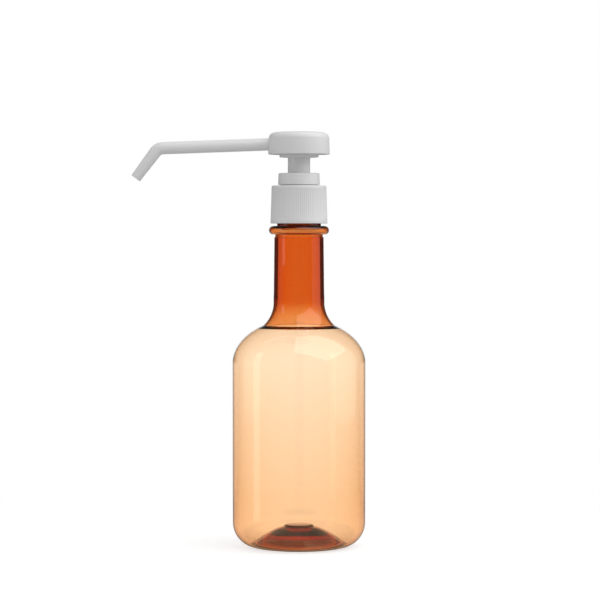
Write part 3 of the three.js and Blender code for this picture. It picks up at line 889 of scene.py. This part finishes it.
ribbed_heights = [
    rib_bottom, rib_bottom + rib_run_out / 2, rib_bottom + rib_run_out,
    rib_top - rib_run_out, rib_top - rib_run_out / 2, rib_top,
]
closure_outline = eased(
    [
        (cavity_radius, closure_low.z, closure_foot_ease),
        (skirt_radius(closure_low.z), closure_low.z, closure_foot_ease),
    ]
    + [(skirt_radius(height), height) for height in ribbed_heights]
    + [
        (skirt_radius(closure_high.z), closure_high.z, closure_edge),
        (closure_hole, closure_high.z, closure_foot_ease),
        (closure_hole, closure_ceiling),
    ]
    + level_rows((cavity_radius, closure_ceiling), (cavity_radius, cavity_foot), thread_rows)[:-1]
)
white_pp = moulded_plastic(
    "white_pp", tone=(0.81, 0.81, 0.81), roughness=0.42, grain=1800, grain_depth=0.015 * MM
)
closure_thread = {
    **bottle_thread,
    "Wall": cavity_radius,
    "Reach": -thread_depth,
    "Start": thread_start - thread_pitch / 2,
    "Turns": closure_thread_turns,
}
closure_ribs = {
    "Wall": cavity_radius + closure_wall / 2,
    "Count": rib_count,
    "Depth": rib_depth,
    "Bottom": rib_bottom,
    "Top": rib_top,
    "Run Out": rib_run_out,
}
closure = turned(
    "closure_cap", closure_outline, white_pp, rib_points * rib_count,
    (thread_cutter, closure_thread), (rib_tree(), closure_ribs),
)
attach(closure, "closure")
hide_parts("closure")

# Collar: a white moulded ring that snaps onto the cylinder through the closure, so that the closure
# turns freely under it. Its top guides the stem.
collar_low, collar_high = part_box("collar")
collar_lift = 0.5 * MM
collar_taper = 0.3 * MM
collar_edge = 0.7 * MM
collar_foot_ease = 0.25 * MM
collar_top_wall = 1.8 * MM
collar_sides = 128
spigot_bore = barrel_radius + fit_gap
spigot_radius = 10.6 * MM
stem_low, stem_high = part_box("stem")
stem_radius = stem_high.y
collar_bottom = closure_high.z + collar_lift
collar_ceiling = collar_high.z - collar_top_wall
stem_hole = stem_radius + fit_gap
collar_outline = eased([
    (spigot_bore, collar_low.z),
    (spigot_radius, collar_low.z),
    (spigot_radius, collar_bottom),
    (collar_high.x, collar_bottom, collar_foot_ease),
    (collar_high.x - collar_taper, collar_high.z, collar_edge),
    (stem_hole, collar_high.z, collar_foot_ease),
    (stem_hole, collar_ceiling),
    (spigot_bore, collar_ceiling),
])
collar = turned("collar_ring", collar_outline, white_pp, collar_sides)
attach(collar, "pump_body")
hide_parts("collar")

# Stem: the plain white tube between collar and head. The upper valve ball works in the chamber
# inside it, and a slot across the chamber's stop lets the liquid past.
stem_grip = plunger_radius + fit_gap
outlet_low, outlet_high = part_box("outlet_ball")
ball_clearance = 0.4 * MM
ball_lift = 0.9 * MM
stop_slot = 1.2 * MM
outlet_radius = (outlet_high.z - outlet_low.z) / 2
chamber_radius = outlet_radius + ball_clearance
chamber_bottom = plunger_high.z + seat_gap
stop_height = outlet_high.z + ball_lift + fit_gap
stem_outline = eased([
    (stem_grip, stem_low.z),
    (stem_radius, stem_low.z, inner_ease),
    (stem_radius, stem_high.z, inner_ease),
    (channel_radius, stem_high.z),
    (channel_radius, stop_height),
    (chamber_radius, stop_height),
    (chamber_radius, chamber_bottom),
    (stem_grip, chamber_bottom),
])
stem = turned("stem_tube", stem_outline, white_pp, pump_sides)
slot_bottom = stop_height - outlet_radius / 2
slot_height = stem_high.z + loose_gap - slot_bottom
slot_middle = (0, 0, slot_bottom + slot_height / 2)
cut(stem, slab("stop_slot", (2 * chamber_radius, stop_slot, slot_height), slot_middle))
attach(stem, "head")
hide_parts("stem")

# Spout: a white tube that leaves the head, droops a little, and is bent down near its end, where it
# tapers to a square cut. Its root is pressed into the core inside the head.
core_low, core_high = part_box("actuator_core")
core_radius = core_high.x
core_cap = 1.2 * MM
spout_radius = 3.5 * MM
spout_tip_radius = 3 * MM
spout_bore = 1.7 * MM
spout_droop = math.radians(2.05)
spout_leg_angle = math.radians(53)
spout_reach = 80.3 * MM
spout_leg = 21.3 * MM
spout_bend = 6 * MM
spout_grip = 3.6 * MM
spout_edge = 0.25 * MM
spout_sides = 64
bend_steps = 24
spout_axis = core_high.z - core_cap - spout_radius
run_way = Vector((-math.cos(spout_droop), 0, -math.sin(spout_droop)))
leg_way = Vector((-math.cos(spout_leg_angle), 0, -math.sin(spout_leg_angle)))


def on_run(reach):
    """The point of the spout's straight run at that distance from the bottle's axis."""
    return Vector((0, 0, spout_axis)) + run_way * (reach / math.cos(spout_droop))


spout_start = on_run(core_radius - spout_grip)
spout_corner = on_run(spout_reach)
spout_tip = spout_corner + leg_way * spout_leg


def path_tree():
    """Turns a tube from its outline and bends it along two straight runs with a round bend."""
    sizes = {"Sides": COUNT, "Start": PLACE, "Corner": PLACE, "Tip": PLACE, "Bend": FLOAT}
    start = new_tree("tube_along_its_path", sizes)
    straight = start.node(
        "GeometryNodeGroup",
        {"node_tree": lathe},
        {"Geometry": start["Geometry"], "Sides": start["Sides"]},
    )
    stops = start.node("GeometryNodeMeshLine", values={"Count": 3})
    spread = start.node(
        "GeometryNodeIndexSwitch",
        {"data_type": "VECTOR"},
        {"Index": start.node("GeometryNodeInputIndex"), 1: start["Start"], 2: start["Corner"]},
    )
    chooser = spread.socket.node
    chooser.index_switch_items.new()
    start.tree.links.new(start["Tip"].socket, chooser.inputs[3])
    placed = start.node("GeometryNodeSetPosition", values={"Geometry": stops, "Position": spread})
    line = start.node("GeometryNodeMeshToCurve", values={"Mesh": placed})
    path = start.node(
        "GeometryNodeFilletCurve",
        {"mode": "POLY"},
        {"Curve": line, "Count": bend_steps, "Radius": start["Bend"]},
    )
    spot = start.node("GeometryNodeInputPosition").split()
    station = start.node(
        "GeometryNodeSampleCurve",
        {"mode": "LENGTH", "use_all_curves": True},
        {"Curves": path, "Length": spot["Z"]},
    )
    heading = station["Tangent"].split()
    foot = station["Position"].split()
    bent = start.node(
        "ShaderNodeCombineXYZ",
        values={
            "X": foot["X"] + spot["X"] * heading["Z"],
            "Y": spot["Y"],
            "Z": foot["Z"] - spot["X"] * heading["X"],
        },
    )
    tube = start.node("GeometryNodeSetPosition", values={"Geometry": straight, "Position": bent})
    return close_tree(start, tube)


bend_turn = spout_leg_angle - spout_droop
bend_set = spout_bend * math.tan(bend_turn / 2)
bend_from = (spout_corner - spout_start).length - bend_set
bend_to = bend_from + spout_bend * bend_turn
spout_length = bend_to + spout_leg - bend_set
bend_length = bend_to - bend_from
bend_rows = [bend_from + bend_length * row / bend_steps for row in range(bend_steps + 1)]
spout_outline = eased(
    [(spout_bore, 0), (spout_radius, 0)]
    + [(spout_radius, row) for row in bend_rows]
    + [(spout_tip_radius, spout_length, spout_edge), (spout_bore, spout_length, spout_edge)]
    + [(spout_bore, row) for row in reversed(bend_rows)]
)
spout_sizes = {
    "Sides": spout_sides,
    "Start": spout_start,
    "Corner": spout_corner,
    "Tip": spout_tip,
    "Bend": spout_bend,
}
spout_seed = outline_mesh("spout_tube", spout_outline)
spout = grown("spout_tube", spout_seed, white_pp, (path_tree(), spout_sizes))
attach(spout, "head")
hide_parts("spout")

# Core of the push head: a white moulded block with a socket for the stem below, a socket for the
# spout at its side and the channel between them. Its skirt shows as a ring under the cover.
core_boss_step = 0.8 * MM
core_boss_wall = 1.6 * MM
core_skirt_wall = 1.3 * MM
core_ease = 0.3 * MM
core_sides = 128
core_socket = stem_radius + fit_gap
core_boss = core_socket + core_boss_wall
core_ceiling = stem_high.z + seat_gap
skirt_bore = core_radius - core_skirt_wall
spout_socket = spout_radius + fit_gap


def bar(name, start, end, radius):
    """A round bar between two points, for cutting."""
    way = end - start
    mesh = outline_mesh(name, [(0, 0), (radius, 0), (radius, way.length), (0, way.length)])
    rod = grown(name, mesh, white_pp, (lathe, {"Sides": spout_sides}))
    turn = way.to_track_quat("Z", "Y").to_matrix().to_4x4()
    rod.data.transform(Matrix.Translation(start) @ turn)
    return rod


core_outline = eased([
    (0, core_ceiling),
    (core_socket, core_ceiling),
    (core_socket, core_low.z + core_boss_step, core_ease),
    (core_boss, core_low.z + core_boss_step, core_ease),
    (core_boss, core_ceiling),
    (skirt_bore, core_ceiling),
    (skirt_bore, core_low.z, core_ease),
    (core_radius, core_low.z, core_ease),
    (core_radius, core_high.z, core_ease),
    (0, core_high.z),
])
core = turned("head_core", core_outline, white_pp, core_sides)
riser_foot = Vector((0, 0, core_ceiling - loose_gap))
cut(
    core,
    bar("riser", riser_foot, on_run(0), channel_radius),
    bar("channel", on_run(0), on_run(core_radius), spout_bore),
    bar("spout_socket", spout_start - run_way * seat_gap, on_run(2 * core_radius), spout_socket),
)
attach(core, "head")
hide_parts("actuator_core")

# Cover of the push head: a shallow white cap, pressed over the core by its inner ring, with a
# slightly crowned top for the palm and a round hole for the spout.
cover_low, cover_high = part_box("head_cover")
cover_wall = 1.5 * MM
cover_taper = 0.35 * MM
cover_corner = 3.6 * MM
cover_crown = 0.5 * MM
cover_ring_wall = 1.2 * MM
cover_ring_depth = 6 * MM
cover_rim_ease = 0.3 * MM
cover_sides = 160
cover_rows = 20
inner_corner_rows = 12
cover_ceiling = core_high.z + seat_gap
ring_bore = core_radius + fit_gap
ring_radius = ring_bore + cover_ring_wall
crown_foot = cover_high.z - cover_crown
corner_centre = (cover_high.x - cover_taper - cover_corner, crown_foot - cover_corner)
inner_corner = cover_corner - cover_wall
cover_outline = eased(
    [
        (0, cover_ceiling),
        (ring_bore, cover_ceiling),
        (ring_bore, cover_ceiling - cover_ring_depth),
        (ring_radius, cover_ceiling - cover_ring_depth),
        (ring_radius, corner_centre[1] + inner_corner),
    ]
    + arc(corner_centre, (inner_corner, inner_corner), 90, 0, inner_corner_rows)
    + [
        (cover_high.x - cover_wall, cover_low.z, cover_rim_ease),
        (cover_high.x, cover_low.z, cover_rim_ease),
    ]
    + arc(corner_centre, (cover_corner, cover_corner), 0, 90, cover_rows)
    + arc((0, crown_foot), (corner_centre[0], cover_crown), 0, 90, cover_rows)[1:-1]
    + [(0, cover_high.z)]
)
cover = turned("head_cap", cover_outline, white_pp, cover_sides)
cut(cover, bar("spout_hole", spout_start, on_run(2 * cover_high.x), spout_socket))
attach(cover, "head")
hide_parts("head_cover")

# Studio: a white surround and a white floor that keeps the shadow, with painted shade on its glow
# under the foot, a large softbox over the right shoulder, two strips close on the left and a weak
# panel on each side. Light that was thrown back inside the clear plastic comes from a dark room
# with a low scrim behind, and that draws its edges.
floor_radius = 6
floor_sides = 96
floor_colour = (0.4, 0.4, 0.4, 1)
floor_glow = 0.72
floor_bounce = 0.16
# Painted shade: inside these radii the floor's glow is dimmed to a small share under the bottle's
# foot.
foot_from = 0.018
foot_to = 0.025
painted_foot_shade_level = 0.14
shadow_from = 0.05
shadow_to = 0.3

room_light = 0.45
room_lift = 0.4
room_clear = 1.3
room_dark = 0.18
room_side = 0.05
backdrop_from = 0.93
backdrop_to = 0.99
scrim_light = 0.45
scrim_low = 0.02
scrim_high = 0.08
scrim_from = 0.6
scrim_to = 0.75

table_side = 0.3
table_back = 0.9
table_near = 0.9
table_from = 2.2
table_to = 3.6
deep_light = 1.3
deep_faces = 3
deep_high = 0.4
deep_low = 0.3


def background_ray(path):
    """1 for a ray that can show the background: the eye's, a mirror's or one through plastic."""
    mirror_or_eye = path.math("MAXIMUM", path["Is Camera Ray"], path["Is Glossy Ray"])
    return path.math("MAXIMUM", mirror_or_eye, path["Is Transmission Ray"])


def deep_ray(path):
    """1 for a ray that has passed through both faces of two walls of plastic, or more."""
    return path.math("GREATER_THAN", path["Transmission Depth"], deep_faces)


def room_seen(path, mirrored, dark):
    """What the eye, a ray through clear plastic and a mirror ray see of the room.

    A clear ray sees the bright backdrop, and one thrown back inside the plastic a dark room.
    """
    clear_ray = path["Is Transmission Ray"]
    mirror_ray = path["Is Glossy Ray"] * (1 - clear_ray)
    thrown_back = path.math("MINIMUM", path["Glossy Depth"], 1)
    clear = thrown_back.between(room_clear, dark)
    return path["Is Camera Ray"] + clear_ray * clear + mirror_ray * mirrored


def pale_floor():
    """A floor that is white to the eye and through the bottle, with the shadow round its foot. That
    shadow is partly real, in the floor's diffuse part, and partly painted shade, where the floor's
    glow is dimmed under the foot.
    """
    material, start = new_material("pale_floor")
    path = start.node("ShaderNodeLightPath")
    spot = start.node("ShaderNodeTexCoord")["Object"].split()
    radius = start.math("SQRT", spot["X"] * spot["X"] + spot["Y"] * spot["Y"])
    far = radius.share(shadow_from, shadow_to)
    # Painted shade under the foot: the glow falls to a small share inside the foot's radius.
    painted_foot_shade = radius.share(foot_from, foot_to).between(painted_foot_shade_level, 1)
    behind = (spot["Y"] / radius).share(scrim_from, scrim_to)
    table = far * radius.share(table_to, table_from) * behind
    back = start.math("MAXIMUM", table * table_back, deep_ray(path) * deep_light)
    dark = start.math("MAXIMUM", back, (1 - far).between(room_dark, table_near))
    bright = room_seen(path, table.between(room_side, table_side), dark)
    seen = background_ray(path)
    strength = bright * painted_foot_shade * floor_glow + (1 - seen) * floor_bounce
    cloth = start.node("ShaderNodeBsdfDiffuse", values={"Color": floor_colour})
    glow = start.node("ShaderNodeEmission", values={"Color": WHITE, "Strength": strength})
    near = start.node("ShaderNodeAddShader", values={0: cloth, 1: glow})
    open_floor = start.node("ShaderNodeEmission", values={"Color": WHITE, "Strength": bright})
    both = start.node("ShaderNodeMixShader", values={"Fac": far * seen, 1: near, 2: open_floor})
    start.node("ShaderNodeOutputMaterial", values={"Surface": both})
    return material


def white_surround():
    """A surround that is white to the eye, and a grey room to the light that falls on the part."""
    world = bpy.data.worlds.new("studio")
    world.use_nodes = True
    world.node_tree.nodes.clear()
    start = Wire(world.node_tree)
    path = start.node("ShaderNodeLightPath")
    way = start.node("ShaderNodeTexCoord").split()
    ambient = room_light * (1 + room_lift * way["Z"])
    deep = way["Z"].share(deep_high, deep_low) * deep_ray(path)
    above = way["Z"].share(scrim_low, scrim_high)
    scrim = above * way["Y"].share(scrim_from, scrim_to) * scrim_light
    dark = start.math("MAXIMUM", deep.between(room_dark, deep_light), scrim)
    mirrored = way["Y"].share(backdrop_from, backdrop_to).between(room_side, 1)
    strength = room_seen(path, mirrored, dark) + (1 - background_ray(path)) * ambient
    backdrop = start.node("ShaderNodeBackground", values={"Color": WHITE, "Strength": strength})
    start.node("ShaderNodeOutputWorld", values={"Surface": backdrop})
    return world


floor_mesh = bpy.data.meshes.new("floor")
rim = arc((0, 0), (floor_radius, floor_radius), 0, 360, floor_sides)[:-1]
floor_mesh.from_pydata([(x, y, 0) for x, y in rim], [], [list(range(floor_sides))])
floor_mesh.materials.append(pale_floor())
floor = bpy.data.objects.new("floor", floor_mesh)
bpy.context.scene.collection.objects.link(floor)
bpy.context.scene.world = white_surround()


def softbox(name, bearing, distance, height, aim, sizes, radiance, roll=0):
    """A rectangular lamp that faces the bottle's axis. The bearing is to the right of the front."""
    lamp = bpy.data.lights.new(name, "AREA")
    lamp.shape = "RECTANGLE"
    lamp.size, lamp.size_y = sizes
    lamp.energy = radiance * math.pi * lamp.size * lamp.size_y
    light = bpy.data.objects.new(name, lamp)
    turn = math.radians(bearing)
    light.location = (math.sin(turn) * distance, -math.cos(turn) * distance, height)
    away = light.location - Vector((0, 0, aim))
    light.rotation_mode = "QUATERNION"
    rolled = Quaternion((0, 0, 1), math.radians(roll))
    light.rotation_quaternion = away.to_track_quat("Z", "Y") @ rolled
    light.visible_camera = False
    bpy.context.scene.collection.objects.link(light)


softbox(
    "key_softbox", bearing=59, distance=0.56, height=0.97, aim=0.14,
    sizes=(1.35, 1.35), radiance=1.2, roll=30,
)
softbox(
    "left_strip", bearing=-70, distance=0.16, height=0.069, aim=0.069,
    sizes=(0.036, 0.134), radiance=0.8,
)
softbox(
    "left_upper_strip", bearing=-74, distance=0.25, height=0.216, aim=0.216,
    sizes=(0.06, 0.108), radiance=0.9,
)
softbox(
    "right_panel", bearing=88, distance=0.9, height=0.35, aim=0.3,
    sizes=(0.9, 0.7), radiance=0.4,
)
softbox(
    "left_panel", bearing=-96, distance=0.9, height=0.35, aim=0.3,
    sizes=(0.5, 0.7), radiance=0.14,
)

# Camera: level with the closure and far off, with a long lens, looking a little down at the front.
photo_scale = 0.571 * MM
photo_side = 600
axis_pixel = 299
base_pixel = 547
view_distance = 1.37
view_height = 0.18
camera_data = bpy.data.cameras.new("camera")
camera = bpy.data.objects.new("camera", camera_data)
view_side = (photo_side / 2 - axis_pixel) * photo_scale
view_middle = Vector((view_side, 0, (base_pixel - photo_side / 2) * photo_scale))
camera.location = (view_side, -view_distance, view_height)
view_way = view_middle - camera.location
camera_data.lens = camera_data.sensor_width * view_way.length / (photo_scale * photo_side)
camera.rotation_euler = view_way.to_track_quat("-Z", "Y").to_euler()
bpy.context.scene.collection.objects.link(camera)
bpy.context.scene.camera = camera
bpy.context.scene.view_settings.view_transform = "Standard"
